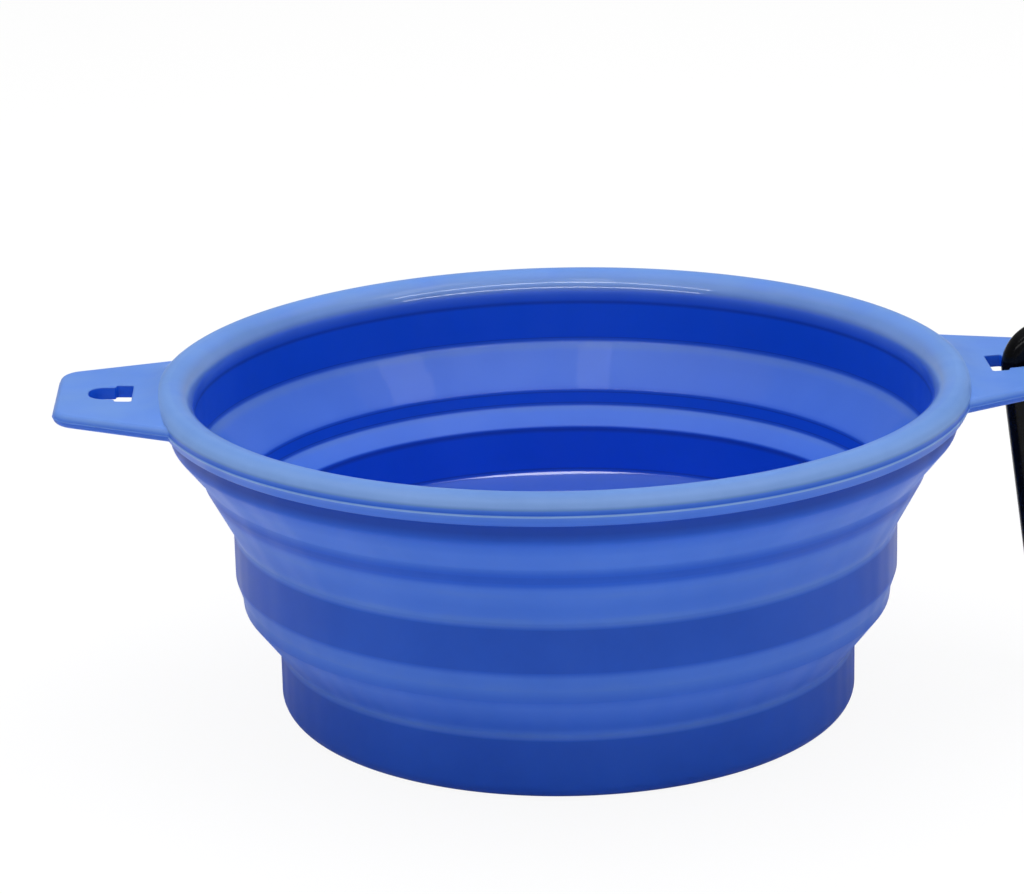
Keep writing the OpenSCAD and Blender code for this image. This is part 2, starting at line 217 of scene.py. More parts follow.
def join_loops(bm, low, high):
    """A band of faces between two loops. Points that the two share give triangles, or no face at all."""
    for k in range(len(low)):
        n = (k + 1) % len(low)
        corners = [low[k], low[n], high[n], high[k]]
        corners = [v for i, v in enumerate(corners) if v not in corners[:i]]
        if len(corners) > 2:
            bm.faces.new(corners)


def finish_mesh(name, bm, crease=38.0):
    """Makes an object of a bmesh in millimetres, smooth but for edges sharper than the given angle."""
    bmesh.ops.remove_doubles(bm, verts=bm.verts, dist=SAME_POINT)
    bmesh.ops.delete(bm, geom=[v for v in bm.verts if not v.link_faces], context="VERTS")
    bmesh.ops.recalc_face_normals(bm, faces=bm.faces)
    bmesh.ops.scale(bm, vec=(MM, MM, MM), verts=bm.verts)
    for face in bm.faces:
        face.smooth = True
    for edge in bm.edges:
        if len(edge.link_faces) == 2 and edge.calc_face_angle() > math.radians(crease):
            edge.smooth = False
    mesh = bpy.data.meshes.new(name)
    bm.to_mesh(mesh)
    bm.free()
    obj = bpy.data.objects.new(name, mesh)
    scene.collection.objects.link(obj)
    return obj


def set_values(obj, attribute, values):
    """Gives each point of a mesh its value of a named attribute."""
    obj.data.attributes.new(attribute, "FLOAT", "POINT").data.foreach_set("value", values)


def turned(name, outline, longest=1.2, around=216):
    """A ring turned about Z from a closed outline of (radius, height), with its share of painted light and
    shade, and its gloss.
    """
    bm = bmesh.new()
    rings = []
    for p in divided(outline, longest):
        if p.x < ON_AXIS:
            rings.append([bm.verts.new((0, 0, p.y))] * around)
        else:
            rings.append([
                bm.verts.new((p.x * math.cos(a), p.x * math.sin(a), p.y)) for a in around_circle(around)
            ])
    for low, high in zip(rings, rings[1:] + rings[:1]):
        join_loops(bm, low, high)
    obj = finish_mesh(name, bm)
    painted_light_and_shade = []
    gloss = []
    for v in obj.data.vertices:
        z = v.co.z / MM
        outside = math.hypot(v.co.x, v.co.y) / MM > between(MID_WALL, z)
        painted_light_and_shade.append(between(PAINTED_LIGHT_AND_SHADE_OUT if outside else PAINTED_LIGHT_IN, z))
        gloss.append(0.0 if outside else between(GLOSS_IN, z))
    set_values(obj, "painted_light_and_shade", painted_light_and_shade)
    set_values(obj, "gloss", gloss)
    return obj


def plate(name, outer, outer_edge, holes, hole_edge, place, rise=None, cuts=()):
    """A flat plate with shaped edges. An edge is a list of (distance into the material, height), from the
    lowest up. Cuts are (axis, place) lines across the plate. Rise says how far its top is lifted at a point.
    """
    bm = bmesh.new()
    low_rims = []
    top_rims = []
    for loop, edge, sign in [(outer, outer_edge, 1)] + [(h, hole_edge, -1) for h in holes]:
        levels = []
        for inset, z in edge:
            levels.append([bm.verts.new((p.x, p.y, z)) for p in offset(loop, sign * inset)])
        for low, high in zip(levels, levels[1:]):
            join_loops(bm, low, high)
        for rims, level in ((low_rims, levels[0]), (top_rims, levels[-1])):
            rims += [bm.edges.get(ends) for ends in zip(level, level[1:] + level[:1])]
    for rims in (low_rims, top_rims):
        bmesh.ops.triangle_fill(bm, use_beauty=True, edges=rims)
    for axis, at in cuts:
        normal = Vector((axis == "x", axis == "y", 0))
        everything = bm.verts[:] + bm.edges[:] + bm.faces[:]
        bmesh.ops.bisect_plane(bm, geom=everything, plane_co=normal * at, plane_no=normal)
    if rise:
        thick = max(v.co.z for v in bm.verts)
        for v in bm.verts:
            v.co.z += rise(v.co.x, v.co.y) * max(0.0, v.co.z / thick)
    bm.transform(place)
    return finish_mesh(name, bm)


def tube(name, path, radius, sides, chamfer=0.0):
    """A round rod along a path of points, closed at both ends, which may be chamfered."""
    bm = bmesh.new()
    points = [(p, radius) for p in path]
    if chamfer:
        first = (path[1] - path[0]).normalized() * chamfer
        last = (path[-2] - path[-1]).normalized() * chamfer
        points = [(path[0], radius - chamfer), (path[0] + first, radius)] + points[1:-1]
        points += [(path[-1] + last, radius), (path[-1], radius - chamfer)]
    rings = []
    normal = (points[1][0] - points[0][0]).orthogonal().normalized()
    for i, (p, r) in enumerate(points):
        ahead = (points[min(i + 1, len(points) - 1)][0] - points[max(i - 1, 0)][0]).normalized()
        normal = (normal - ahead * normal.dot(ahead)).normalized()
        side = ahead.cross(normal)
        rings.append([
            bm.verts.new(p + (normal * math.cos(a) + side * math.sin(a)) * r) for a in around_circle(sides)
        ])
    for low, high in zip(rings, rings[1:]):
        join_loops(bm, low, high)
    bm.faces.new(rings[0])
    bm.faces.new(rings[-1])
    return finish_mesh(name, bm)


# Materials

# The silicone's colours by its share of painted light and shade, as (share, dull cloud, fresh cloud). Higher
# shares are paler, for painted light
SILICONE_COLOURS = [
    (0.0, (0.004, 0.080, 0.590), (0.007, 0.092, 0.640)),
    # Painted shade on the neck under the lip: a darker colour
    (0.04, (0.007, 0.052, 0.370), (0.010, 0.060, 0.400)),
    (0.08, (0.013, 0.089, 0.545), (0.018, 0.103, 0.590)),
    (0.42, (0.052, 0.155, 0.615), (0.064, 0.177, 0.665)),
    (0.62, (0.106, 0.220, 0.515), (0.124, 0.248, 0.565)),
    (1.0, (0.190, 0.335, 0.670), (0.220, 0.370, 0.720)),
]
# Blacks of the anodised rod and greys of the steel, as (place on the noise, colour)
BLACKS = [(0.42, (0.0018, 0.0019, 0.0023)), (0.70, (0.0048, 0.0050, 0.0058))]
GREYS = [(0.35, (0.42, 0.43, 0.45)), (0.68, (0.60, 0.61, 0.63))]


def new_material(name):
    mat = bpy.data.materials.new(name)
    mat.use_nodes = True
    tree = mat.node_tree
    return mat, tree, tree.nodes["Principled BSDF"]


def add(tree, kind, **inputs):
    """A new node, with values for its sockets or its own settings."""
    node = tree.nodes.new(kind)
    for key, value in inputs.items():
        if key in node.inputs:
            node.inputs[key].default_value = value
        else:
            setattr(node, key, value)
    return node


def maths(tree, operation, *values):
    """The result of a calculation on numbers and on other nodes' outputs."""
    node = add(tree, "ShaderNodeMath", operation=operation)
    for socket, value in zip(node.inputs, values):
        if isinstance(value, float):
            socket.default_value = value
        else:
            tree.links.new(value, socket)
    return node.outputs[0]


def noise(tree, vector, scale, detail, rough=0.5):
    node = add(tree, "ShaderNodeTexNoise", Scale=scale, Detail=detail, Roughness=rough)
    tree.links.new(vector, node.inputs["Vector"])
    return node.outputs["Fac"]


def spread(tree, value, low, high, from_low=0.3, from_high=0.7):
    """A value's range, which for noise is its middle part, spread over a new range."""
    node = add(tree, "ShaderNodeMapRange")
    node.inputs["From Min"].default_value = from_low
    node.inputs["From Max"].default_value = from_high
    node.inputs["To Min"].default_value = low
    node.inputs["To Max"].default_value = high
    tree.links.new(value, node.inputs["Value"])
    return node.outputs["Result"]


def ramp(tree, value, stops):
    """The colour at a value on stops (place, colour)."""
    node = add(tree, "ShaderNodeValToRGB")
    while len(node.color_ramp.elements) < len(stops):
        node.color_ramp.elements.new(0.5)
    for element, (position, colour) in zip(node.color_ramp.elements, stops):
        element.position = position
        element.color = (*colour, 1)
    tree.links.new(value, node.inputs["Fac"])
    return node.outputs["Color"]


def bumped(tree, shader, height, strength, distance):
    node = add(tree, "ShaderNodeBump", Strength=strength, Distance=distance)
    tree.links.new(height, node.inputs["Height"])
    tree.links.new(node.outputs["Normal"], shader.inputs["Normal"])


def object_coords(tree):
    return add(tree, "ShaderNodeTexCoord").outputs["Object"]


def attribute(tree, name):
    return add(tree, "ShaderNodeAttribute", attribute_name=name).outputs["Fac"]


def around_and_up(tree, coords):
    """Coordinates that run round the bowl's axis and up it."""
    parts = add(tree, "ShaderNodeSeparateXYZ")
    tree.links.new(coords, parts.inputs[0])
    along = add(tree, "ShaderNodeCombineXYZ")
    tree.links.new(maths(tree, "ARCTAN2", parts.outputs["Y"], parts.outputs["X"]), along.inputs["X"])
    tree.links.new(parts.outputs["Z"], along.inputs["Y"])
    return along.outputs[0]


def silicone_material():
    """Satin moulded silicone: clouds of colour, painted light and shade, wiped streaks, fine grain and
    glossy edges.
    """
    mat, tree, shader = new_material("silicone_blue")
    coords = object_coords(tree)
    patches = spread(tree, noise(tree, coords, scale=90.0, detail=3.0, rough=0.6), low=0.90, high=1.0)
    # The share of painted light and shade from the mesh, a little uneven: paler for painted light, darker
    # for painted shade
    painted_light_and_shade = maths(tree, "MULTIPLY", attribute(tree, "painted_light_and_shade"), patches)
    clouds = spread(tree, noise(tree, coords, scale=38.0, detail=4.0, rough=0.55), low=0.0, high=1.0)
    colour = add(tree, "ShaderNodeMix", data_type="RGBA")
    tree.links.new(clouds, colour.inputs["Factor"])
    for side, column in (("A", 1), ("B", 2)):
        stops = [(row[0], row[column]) for row in SILICONE_COLOURS]
        tree.links.new(ramp(tree, painted_light_and_shade, stops), colour.inputs[side])
    tree.links.new(colour.outputs["Result"], shader.inputs["Base Color"])

    # The handled lip is rubbed smoother than the walls
    streaks = noise(tree, around_and_up(tree, coords), scale=12.0, detail=0.0)
    walls = spread(tree, streaks, low=0.38, high=0.48)
    handled = spread(tree, painted_light_and_shade, low=0.0, high=1.0, from_low=0.38, from_high=0.58)
    tree.links.new(maths(tree, "MULTIPLY_ADD", handled, -0.07, walls), shader.inputs["Roughness"])

    grain = noise(tree, coords, scale=5200.0, detail=2.0)
    waves = noise(tree, coords, scale=160.0, detail=2.0)
    bumped(tree, shader, maths(tree, "MULTIPLY_ADD", waves, 6.0, grain), strength=0.12, distance=0.00006)
    shader.inputs["IOR"].default_value = 1.38
    shader.inputs["Specular IOR Level"].default_value = 0.25
    # A clear gloss on the inner edges, where the mould was polished
    tree.links.new(attribute(tree, "gloss"), shader.inputs["Coat Weight"])
    shader.inputs["Coat Roughness"].default_value = 0.05
    shader.inputs["Coat IOR"].default_value = 1.5
    return mat


def anodised_material():
    """Glossy black finish on an aluminium rod, with a faint grain and rub marks."""
    mat, tree, shader = new_material("black_anodised")
    coords = object_coords(tree)
    rubs = noise(tree, coords, scale=420.0, detail=5.0, rough=0.65)
    tree.links.new(ramp(tree, rubs, BLACKS), shader.inputs["Base Color"])
    tree.links.new(spread(tree, rubs, low=0.10, high=0.20), shader.inputs["Roughness"])
    bumped(tree, shader, noise(tree, coords, scale=2600.0, detail=2.0), strength=0.06, distance=0.00004)
    shader.inputs["Specular IOR Level"].default_value = 0.10
    return mat


def steel_material():
    """Drawn steel wire and pins, with fine turning marks."""
    mat, tree, shader = new_material("brushed_steel")
    stretch = add(tree, "ShaderNodeMapping")
    stretch.inputs["Scale"].default_value = (1.0, 6.0, 1.0)
    tree.links.new(object_coords(tree), stretch.inputs["Vector"])
    lines = noise(tree, stretch.outputs[0], scale=1800.0, detail=3.0, rough=0.6)
    tree.links.new(ramp(tree, lines, GREYS), shader.inputs["Base Color"])
    tree.links.new(spread(tree, lines, low=0.22, high=0.38), shader.inputs["Roughness"])
    bumped(tree, shader, lines, strength=0.10, distance=0.00003)
    shader.inputs["Metallic"].default_value = 1.0
    return mat


silicone = silicone_material()
anodised = anodised_material()
steel = steel_material()


def dress(obj, body, material, slot, *stands_for):
    """Gives a piece its material, and the body that it moves with."""
    obj.data.materials.append(material)
    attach(obj, body)
    if stands_for:
        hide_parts(*stands_for)


# The bowl's rings, as (radius, height, corner radius)

# The bead along the lip's parting line, as (distance out from the lip, height over the line)
BEAD = [
    (-0.015, -0.18), (0.06, -0.10), (0.11, -0.04), (0.12, 0.0), (0.11, 0.05), (0.05, 0.12), (0.0, 0.25),
]
rim = turned("rim_lip", rounded([
    (NECK_R, RIM_JOINT_Z, 0), (NECK_R, LIP_LOW_Z, 0.7), (LIP_R - LIP_TAPER, LIP_LOW_Z, 0.45),
    *[(LIP_R + out, PARTING_Z + up, 0) for out, up in BEAD],
    (LIP_R, LIP_TOP_Z, LIP_ROUND), (MOUTH_R, LIP_TOP_Z, LIP_IN_ROUND), (MOUTH_R, RIM_JOINT_Z, 0),
], step=6.0))
dress(rim, "rim", silicone, "silicone", "rim_ring")

upper = turned("upper_fold_wall", rounded([
    (*UPPER_JOINT_OUT, 0), (BAND_R, BAND_TOP_Z, 0.8), (*UPPER_STEP_LOW, 0.8), (*UPPER_STEP_TOP, 0.9),
    (NECK_R, RIM_LOW_Z, 1.0), (NECK_R, RIM_JOINT_Z, 0), (MOUTH_R, RIM_JOINT_Z, 0),
    (MOUTH_R, RIM_LOW_Z - UPPER_LEAD, 0.8), (*UPPER_STEP_IN, 0.5), (*UPPER_KNEE, 0.6), (*UPPER_HEEL, 0.5),
    (*UPPER_JOINT_IN, 0),
]), longest=0.6)
upper.data.materials.append(silicone)
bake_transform(upper)
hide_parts("upper_fold")

band = turned("middle_band_ring", rounded([
    (BAND_R, BAND_JOINT_Z, 0), (BAND_R, BAND_PAINTED_HIGHLIGHT_Z, 0), (*UPPER_JOINT_OUT, 0), (*UPPER_JOINT_IN, 0),
    (BAND_IN_R, BAND_TOP_Z - BAND_SHELF_DROP, 0.6), (BAND_IN_R, BAND_JOINT_Z, 0),
]))
dress(band, "middle", silicone, "silicone", "middle_band")

lower = turned("lower_fold_wall", rounded([
    (*BASE_JOINT_OUT, 0), (BASE_R, BASE_H, 0.7), (*LOWER_STEP_LOW, 0.6), (*LOWER_STEP_TOP, 0.7),
    (BAND_R, BAND_LOW_Z, 0.7), (BAND_R, BAND_JOINT_Z, 0), (BAND_IN_R, BAND_JOINT_Z, 0),
    (BAND_IN_R, BAND_LOW_Z - LOWER_LEAD, 0.6), (*LOWER_KNEE, 0.55), (*LOWER_HEEL, 0.5),
    (BASE_IN_R + BASE_SHELF_W, BASE_H, 0.4), (*BASE_JOINT_IN, 0),
]), longest=0.6)
lower.data.materials.append(silicone)
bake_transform(lower)
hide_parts("lower_fold")

base = turned("base_cup_wall", rounded([
    (0, 0, 0), (BASE_R, 0, BASE_ROUND), *[(BASE_R, z, 0) for z in BASE_PAINTED_HIGHLIGHT_Z], (*BASE_JOINT_OUT, 0),
    (*BASE_JOINT_IN, 0), (BASE_IN_R, BASE_H - BASE_SHELF_DROP, 0.3), (BASE_IN_R, FLOOR_T, FLOOR_ROUND),
    (0, FLOOR_T, 0),
]), longest=2.0)
dress(base, "base", silicone, "silicone", "base_cup")


# The two tabs, drawn flat and then tilted up about the lip's outside

TAB_LEN = 15.4
TAB_HALF_T = 1.05
TAB_LIFT = 0.25
TAB_TILT = math.radians(2.4)
TIP_HALF = 11.85
TIP_ROUND = 4.5
ROOT_HALF = 18.5
ROOT_FILLET = 1.6
ROOT_LAP = 0.15
ROOT_IN_R = 62.0
FILLET_STEP = 0.002
STRIP_W = 5.1
HOLE_LEN = 6.9
HOLE_WIDE_LEN = 2.7
HOLE_HALF = 3.25
HOLE_WIDE_HALF = 4.35
TIP_X = LIP_R + TAB_LEN
TAB_Z = PARTING_Z + TAB_LIFT
HOLE_OUT = TIP_X - STRIP_W
HOLE_IN = HOLE_OUT - HOLE_LEN
HOLE_STEP = HOLE_IN + HOLE_WIDE_LEN

# Half of the hole's outline, from the bowl outwards, as (x, half width, corner radius)
HOLE_SIDE = [
    (HOLE_IN, HOLE_WIDE_HALF, 0.5), (HOLE_STEP, HOLE_WIDE_HALF, 0.5), (HOLE_STEP, HOLE_HALF, 0.4),
    (HOLE_OUT, HOLE_HALF, 2.725),
]
HOLE = [(x, -y, r) for x, y, r in HOLE_SIDE] + HOLE_SIDE[::-1]
# The lower half of the hole's rounded edge, as (distance into the material, height over the lower face)
HOLE_EDGE_LOW = [(0.45, 0.0), (0.25, 0.0), (0.07, 0.07), (0.0, 0.25)]
# The tab's own round edge, and the fine moulding line along its middle as (distance inwards, height)
EDGE_R = 1.04
EDGE_FLAT = 0.25
MOULD_LINE = [(0.004, -0.10), (-0.07, -0.06), (-0.10, 0.0), (-0.07, 0.06), (0.004, 0.10)]

# The swell of the tab's top towards the lip: where it begins, its height at the lip, and its half width
SEAT_R = 69.0
SEAT_RISE = 1.33
SEAT_HALF = 17.0
LIP_MEET = 63.9
UNDER_CROWN = 0.12
# Lines across the tab, as (axis, place), which give the swell points enough
SEAT_CUTS = [("x", 60.0 + 0.7 * k) for k in range(13)] + [("y", -20.0 + 2.0 * k) for k in range(21)]

# The tab's painted light by how far its surface faces up, paler where light falls on its top. The sides of
# the hole have none
TAB_PAINTED_LIGHT = [(-0.9, 0.3), (-0.2, 0.3), (0.6, 0.59)]
HOLE_MARGIN = 0.3
FACES_UP = 0.5


def whole_edge(low_half, half_t):
    """A plate's whole edge, from its lower half as (distance inwards, height over the lower face)."""
    low = [(inset, up - half_t) for inset, up in low_half]
    return low + [(inset, -z) for inset, z in reversed(low)]


def tab_outline():
    """The tab's plan, with a fillet where each side meets the lip, and a root hidden inside the lip."""
    corner = Vector((TIP_X, TIP_HALF))
    along = Vector((LIP_R - TIP_X, ROOT_HALF - TIP_HALF)).normalized()
    outward = Vector((along.y, -along.x))
    # The fillet's centre lies its own radius off the tab's side, and moves along it in small steps until it
    # lies the same off the lip
    centre = corner + outward * ROOT_FILLET
    reach = 0.0
    while centre.length > LIP_R - ROOT_LAP + ROOT_FILLET:
        reach += FILLET_STEP
        centre = corner + along * reach + outward * ROOT_FILLET
    to_tab = math.atan2(-outward.y, -outward.x)
    to_lip = math.atan2(-centre.y, -centre.x)
    fillet = arc(centre, ROOT_FILLET, math.degrees(to_tab), math.degrees(to_lip), parts=10)
    root = arc((0, 0), ROOT_IN_R, math.degrees(math.atan2(centre.y, centre.x)), 0, parts=6)
    tip = rounded([
        (TIP_X, -TIP_HALF, TIP_ROUND), (TIP_X, TIP_HALF, TIP_ROUND),
        (LIP_R, ROOT_HALF, 0), (LIP_R, -ROOT_HALF, 0),
    ], step=5.0)
    mirrored = [Vector((p.x, -p.y)) for p in reversed(fillet + root[:-1])]
    return divided(mirrored + tip[:-2] + fillet + root, longest=2.5)


def tab_edge():
    """A full round with the moulding line along its middle."""
    angles = [math.radians(d) for d in range(-90, 0, 10)]
    low = [(EDGE_R * (1 - math.cos(a)), TAB_HALF_T * math.sin(a)) for a in angles]
    high = [(inset, -z) for inset, z in reversed(low)]
    flat = EDGE_R + EDGE_FLAT
    return [(flat, -TAB_HALF_T)] + low + MOULD_LINE + high + [(flat, TAB_HALF_T)]


def seat_rise(x, y):
    """The tab's top swells up to meet the lip's crown, and stays under it further in."""
    reach = math.hypot(x, y)
    if reach > SEAT_R:
        return 0.0
    fade = max(0.0, 1 - (abs(y) / SEAT_HALF) ** 4)
    swell = SEAT_RISE * ((SEAT_R - reach) / (SEAT_R - LIP_MEET)) ** 2 * fade
    if reach > LIP_MEET:
        return swell
    past_crown = max(0.0, reach - (LIP_R - LIP_ROUND))
    crown = LIP_TOP_Z - LIP_ROUND + math.sqrt(max(0.0, LIP_ROUND ** 2 - past_crown ** 2))
    return min(swell, crown - UNDER_CROWN - (TAB_Z + TAB_HALF_T))


def tab_painted_light_and_shade(v):
    """The share of painted light at a point of a tab's mesh."""
    x, y = abs(v.co.x) / MM, abs(v.co.y) / MM
    in_hole = HOLE_IN - HOLE_MARGIN < x < HOLE_OUT + HOLE_MARGIN and y < HOLE_WIDE_HALF + HOLE_MARGIN
    return 0.0 if in_hole and v.normal.z < FACES_UP else between(TAB_PAINTED_LIGHT, v.normal.z)


lip_side = Matrix.Translation((LIP_R, 0, TAB_Z))
right_place = lip_side @ Matrix.Rotation(-TAB_TILT, 4, "Y") @ Matrix.Translation((-LIP_R, 0, 0))
left_place = Matrix.Scale(-1, 4, (1, 0, 0)) @ right_place
for name, node, place in (
    ("right_tab_plate", "right_tab", right_place), ("left_tab_plate", "left_tab", left_place),
):
    tab = plate(
        name, tab_outline(), tab_edge(), [rounded(HOLE, step=10.0)], whole_edge(HOLE_EDGE_LOW, TAB_HALF_T),
        place, seat_rise, SEAT_CUTS,
    )
    # Each tab's painted light, paler where its surface faces up
    set_values(tab, "painted_light_and_shade", [tab_painted_light_and_shade(v) for v in tab.data.vertices])
    dress(tab, "rim", silicone, "silicone", node)


# The carabiner: one rod bent round, with flattened tongues at the two ends of its gate

ROD_R = 2.2
ROD_CHAMFER = 0.25
CLIP_LEN = 61.7
CLIP_W = 29.0
CLIP_PLAY = 0.3
CLIP_LIFT = 0.2
STUB = 3.0
GATE_GAP = 0.35
EAR_R = 2.4
# Its upper bend goes round the middle of the tab's strip, and it leans out until its lower end hangs just
# clear of the surface that the bowl stands on
CLIP_OUT = TAB_LEN - STRIP_W / 2
CLIP_X = LIP_R + CLIP_OUT * math.cos(TAB_TILT)
CLIP_Z = TAB_Z + CLIP_OUT * math.sin(TAB_TILT)
TOP_R = math.hypot(STRIP_W / 2, TAB_HALF_T) + CLIP_PLAY + ROD_R
LOW_R = CLIP_W / 2 - ROD_R
REACH = CLIP_LEN - 2 * ROD_R - TOP_R - LOW_R
HALF = math.asin((LOW_R - TOP_R) / REACH)
LEG = REACH * math.cos(HALF)
LEAN = math.acos((CLIP_Z - CLIP_LIFT - LOW_R - ROD_R) / REACH)
# Heights along the gate's leg, counted from the end of the upper bend
HINGE_Z = -(STUB + GATE_GAP + EAR_R)
NOSE_Z = STUB - LEG

clip_place = Matrix.Translation((CLIP_X, 0, CLIP_Z)) @ Matrix.Rotation(-LEAN, 4, "Y")
leg_place = clip_place @ Matrix.Rotation(-HALF, 4, "Y") @ Matrix.Translation((TOP_R, 0, 0))
# A plate drawn in x and y stands up in the carabiner's own plane
upright = leg_place @ Matrix.Rotation(math.radians(90), 4, "X")


def on_leg(z):
    """A point on the middle of the gate's leg."""
    return leg_place @ Vector((0, 0, z))


def rod_path():
    """The middle of the rod, from the hinge's stub over both bends to the nose's stub."""
    def bend(centre_z, r, first, last, parts):
        flat = arc((0, centre_z), r, first, last, parts)
        return [clip_place @ Vector((p.x, 0, p.y)) for p in flat]

    half = math.degrees(HALF)
    top = bend(0, TOP_R, half, 180 - half, parts=48)
    low = bend(-REACH, LOW_R, 180 - half, 360 + half, parts=72)
    straight_parts = 12
    straight = [top[-1].lerp(low[0], k / straight_parts) for k in range(1, straight_parts)]
    hinge_stub = [on_leg(-STUB), on_leg(-STUB / 2)]
    nose_stub = [on_leg(NOSE_Z - STUB / 2), on_leg(NOSE_Z)]
    return hinge_stub + top + straight + low + nose_stub


rod = tube("carabiner_rod", rod_path(), ROD_R, sides=48, chamfer=ROD_CHAMFER)
dress(rod, "carabiner", anodised, "black_anodised", "carabiner_body")

# The tongues are flattened from a rod a little slimmer than the bends, and run back into its stubs
TONGUE_HALF_T = 0.8
TONGUE_ROD_R = 2.15
TONGUE_INSET = 0.05
TONGUE_LAP = 0.4
TONGUE_HALF = math.sqrt(TONGUE_ROD_R ** 2 - TONGUE_HALF_T ** 2) - TONGUE_INSET
TONGUE_EDGE = whole_edge([(0.3, 0.0), (0.12, 0.0), (0.0, 0.12)], TONGUE_HALF_T)
CAM_R = 1.8
CAM_FLAT = 1.45
CAM_SHOULDER = 0.2
HINGE_HOLE_R = 0.8
NOSE_LEN = 5.0
NOTCH_R = 0.95
NOTCH_Z = NOSE_Z + NOSE_LEN / 2


def hinge_outline():
    """The tongue that carries the hinge pin, with a flat across its round cam end."""
    flat_angle = math.degrees(math.asin(CAM_FLAT / CAM_R))
    left = [(-TONGUE_HALF, TONGUE_LAP - STUB), (-TONGUE_HALF, HINGE_Z + CAM_SHOULDER)]
    cam = arc((0, HINGE_Z), CAM_R, 180, 180 + flat_angle, parts=8)
    cam += arc((0, HINGE_Z), CAM_R, 360 - flat_angle, 360, parts=8)
    right = [(-x, y) for x, y in reversed(left)]
    return [Vector(p) for p in left] + cam + [Vector(p) for p in right]


def nose_outline():
    """The tongue that catches the nose pin, with a round notch in its inner side."""
    low, top = NOSE_Z - TONGUE_LAP, NOSE_Z + NOSE_LEN
    sides = [
        (-TONGUE_HALF, low), (TONGUE_HALF, low), (TONGUE_HALF, top), (-TONGUE_HALF, top),
        (-TONGUE_HALF, NOTCH_Z + NOTCH_R),
    ]
    notch = arc((0, NOTCH_Z), NOTCH_R, 90, -90, parts=18)
    return [Vector(p) for p in sides] + notch + [Vector((-TONGUE_HALF, NOTCH_Z - NOTCH_R))]


pin_hole = arc((0, HINGE_Z), HINGE_HOLE_R, 0, 350, parts=35)
hinge = plate("carabiner_hinge_tongue", hinge_outline(), TONGUE_EDGE, [pin_hole], TONGUE_EDGE[1:-1], upright)
dress(hinge, "carabiner", anodised, "black_anodised")
nose = plate("carabiner_nose_tongue", nose_outline(), TONGUE_EDGE, [], TONGUE_EDGE, upright)
dress(nose, "carabiner", anodised, "black_anodised")

# On the carabiner the spring shortens as the gate opens and the plunger goes down into its bore; here it is
# drawn at one length
SPRING_LOW = -17.85
SPRING_TOP = -10.5
SPRING_R = 0.74
WIRE_R = 0.16
TURNS = 8
STEPS_PER_TURN = 24


def spring_helix():
    """The middle of the spring's wire."""
    steps = TURNS * STEPS_PER_TURN
    rise = SPRING_TOP - SPRING_LOW - 2 * WIRE_R
    helix = []
    for k in range(steps + 1):
        a = 2 * math.pi * k / STEPS_PER_TURN
        z = SPRING_LOW + WIRE_R + rise * k / steps
        helix.append(leg_place @ Vector((SPRING_R * math.cos(a), SPRING_R * math.sin(a), z)))
    return helix


spring = tube("gate_spring_wire", spring_helix(), WIRE_R, sides=10)
spring.data.materials.append(steel)
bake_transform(spring)
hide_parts("gate_spring")

# Solids that keep their own shape take the finer materials
for name, material in (
    ("carabiner_gate", anodised), ("gate_hinge_pin", steel), ("gate_nose_pin", steel),
    ("gate_plunger", steel),
):
    nodes[name].data.materials.clear()
    nodes[name].data.materials.append(material)


# Floor, light and camera, in metres

FLOOR_R = 0.9
FLOOR_DROP = 0.00005
FLOOR_GREY = 0.92
FLOOR_WHITE_SHARE = 0.92
# How brightly the floor and the surroundings show in reflections, beside how they are seen straight
FLOOR_MIRRORED = 0.1
WORLD_MIRRORED = 0.25
WORLD_LIGHT = 0.10
WHITE = (1, 1, 1, 1)


def light_path_share(tree, mirrored):
    """1 for a surface that is seen straight, less where it is seen in a reflection or through glass, and 0
    where it only lights others."""
    path = add(tree, "ShaderNodeLightPath")
    seen = maths(tree, "MAXIMUM", path.outputs["Is Glossy Ray"], path.outputs["Is Transmission Ray"])
    return maths(tree, "MAXIMUM", path.outputs["Is Camera Ray"], maths(tree, "MULTIPLY", seen, mirrored))


def floor_material():
    """A pale floor that looks almost white, and keeps a faint shadow."""
    mat = bpy.data.materials.new("pale_floor")
    mat.use_nodes = True
    tree = mat.node_tree
    tree.nodes.clear()
    out = add(tree, "ShaderNodeOutputMaterial")
    mixed = add(tree, "ShaderNodeMixShader")
    diffuse = add(tree, "ShaderNodeBsdfDiffuse", Color=(FLOOR_GREY, FLOOR_GREY, FLOOR_GREY, 1))
    white = add(tree, "ShaderNodeEmission", Color=WHITE, Strength=1.0)
    share = maths(tree, "MULTIPLY", light_path_share(tree, FLOOR_MIRRORED), FLOOR_WHITE_SHARE)
    tree.links.new(share, mixed.inputs["Fac"])
    tree.links.new(diffuse.outputs[0], mixed.inputs[1])
    tree.links.new(white.outputs[0], mixed.inputs[2])
    tree.links.new(mixed.outputs[0], out.inputs["Surface"])
    return mat


def add_floor():
    bm = bmesh.new()
    bmesh.ops.create_circle(bm, cap_ends=True, segments=96, radius=FLOOR_R)
    mesh = bpy.data.meshes.new("floor")
    bm.to_mesh(mesh)
    bm.free()
    mesh.materials.append(floor_material())
    floor = bpy.data.objects.new("floor", mesh)
    floor.location.z = -FLOOR_DROP
    scene.collection.objects.link(floor)


def add_world():
    world = bpy.data.worlds.new("studio")
    scene.world = world
    world.use_nodes = True
    tree = world.node_tree
    background = tree.nodes["Background"]
    background.inputs["Color"].default_value = WHITE
    share = light_path_share(tree, WORLD_MIRRORED)
    strength = spread(tree, share, low=WORLD_LIGHT, high=1.0, from_low=0.0, from_high=1.0)
    tree.links.new(strength, background.inputs["Strength"])


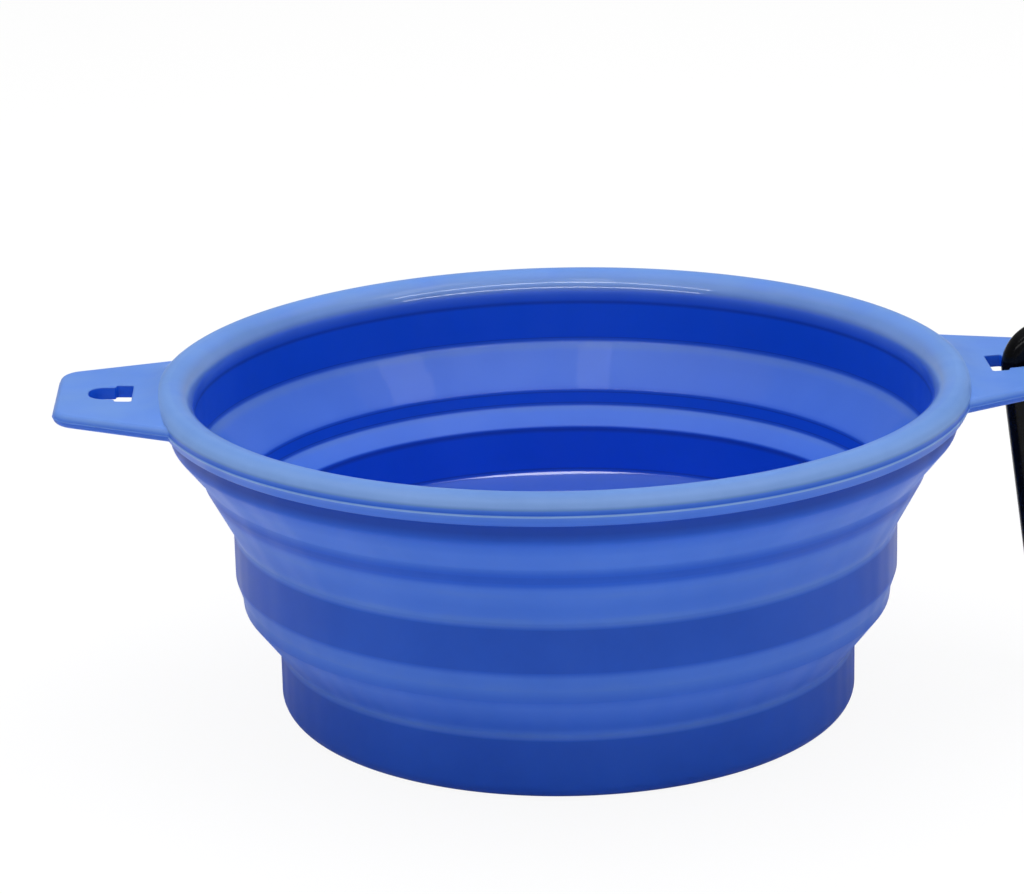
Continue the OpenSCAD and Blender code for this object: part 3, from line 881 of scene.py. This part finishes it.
def softbox(name, place, aim, width, depth, power, diffuse=True, glossy=True):
    """A soft lamp at a place, facing its aim, which may be kept out of the shading or out of reflections."""
    data = bpy.data.lights.new(name, "AREA")
    data.shape = "RECTANGLE"
    data.size = width
    data.size_y = depth
    data.energy = power
    obj = bpy.data.objects.new(name, data)
    obj.location = place
    obj.rotation_euler = (Vector(aim) - Vector(place)).to_track_quat("-Z", "Y").to_euler()
    obj.visible_diffuse = diffuse
    obj.visible_glossy = glossy
    scene.collection.objects.link(obj)


def add_lamps():
    above = {"aim": (0, 0.08, 0.02), "width": 1.3, "depth": 0.96}
    softbox("overhead", (0.0, 0.08, 0.72), **above, power=1.4)
    softbox("overhead_fill", (0.0, 0.08, 0.73), **above, power=10.5, glossy=False)
    # Windows, seen only in reflections, give the bright patches on the inner slope
    window = {"aim": (0, 0.057, 0.04), "depth": 0.34, "diffuse": False}
    softbox("window_left", (0.33, -0.083, 0.69), **window, width=0.14, power=0.182)
    softbox("window_mid", (-0.116, -0.30, 0.69), **window, width=0.10, power=0.13)
    in_front = (0.0, -0.85, 0.22)
    softbox("front_fill", in_front, aim=(0, 0, 0.02), width=1.4, depth=0.3, power=1.2, glossy=False)
    # Strips, seen only in reflections, give the thin lines along the inner edges
    high_aim, front_aim = (0, 0.05, 0.05), (0, 0.05, 0.03)
    softbox("high_strip", (0.0, -0.44, 0.68), high_aim, width=1.5, depth=0.04, power=2.4, diffuse=False)
    softbox("front_strip", (0.0, -0.90, 0.50), front_aim, width=2.2, depth=0.06, power=5.4, diffuse=False)


# The photograph's camera: its place, its line of sight, its up direction and its lens in millimetres
CAMERA_PLACE = (-0.03212, -0.56561, 0.22157)
CAMERA_AHEAD = (0.04009, 0.95232, -0.30247)
CAMERA_UP = (0.03704, 0.32773, 0.94404)
CAMERA_NEAR = 0.01
SENSOR = 36.0
LENS = 130.38


def add_camera():
    data = bpy.data.cameras.new("camera")
    data.sensor_width = SENSOR
    data.lens = LENS
    data.clip_start = CAMERA_NEAR
    ahead = Vector(CAMERA_AHEAD).normalized()
    up = Vector(CAMERA_UP)
    up = (up - ahead * up.dot(ahead)).normalized()
    facing = Matrix((ahead.cross(up), up, -ahead)).transposed()
    camera = bpy.data.objects.new("camera", data)
    camera.matrix_world = Matrix.Translation(CAMERA_PLACE) @ facing.to_4x4()
    scene.collection.objects.link(camera)
    scene.camera = camera


add_floor()
add_world()
add_lamps()
add_camera()
scene.view_settings.view_transform = "Standard"
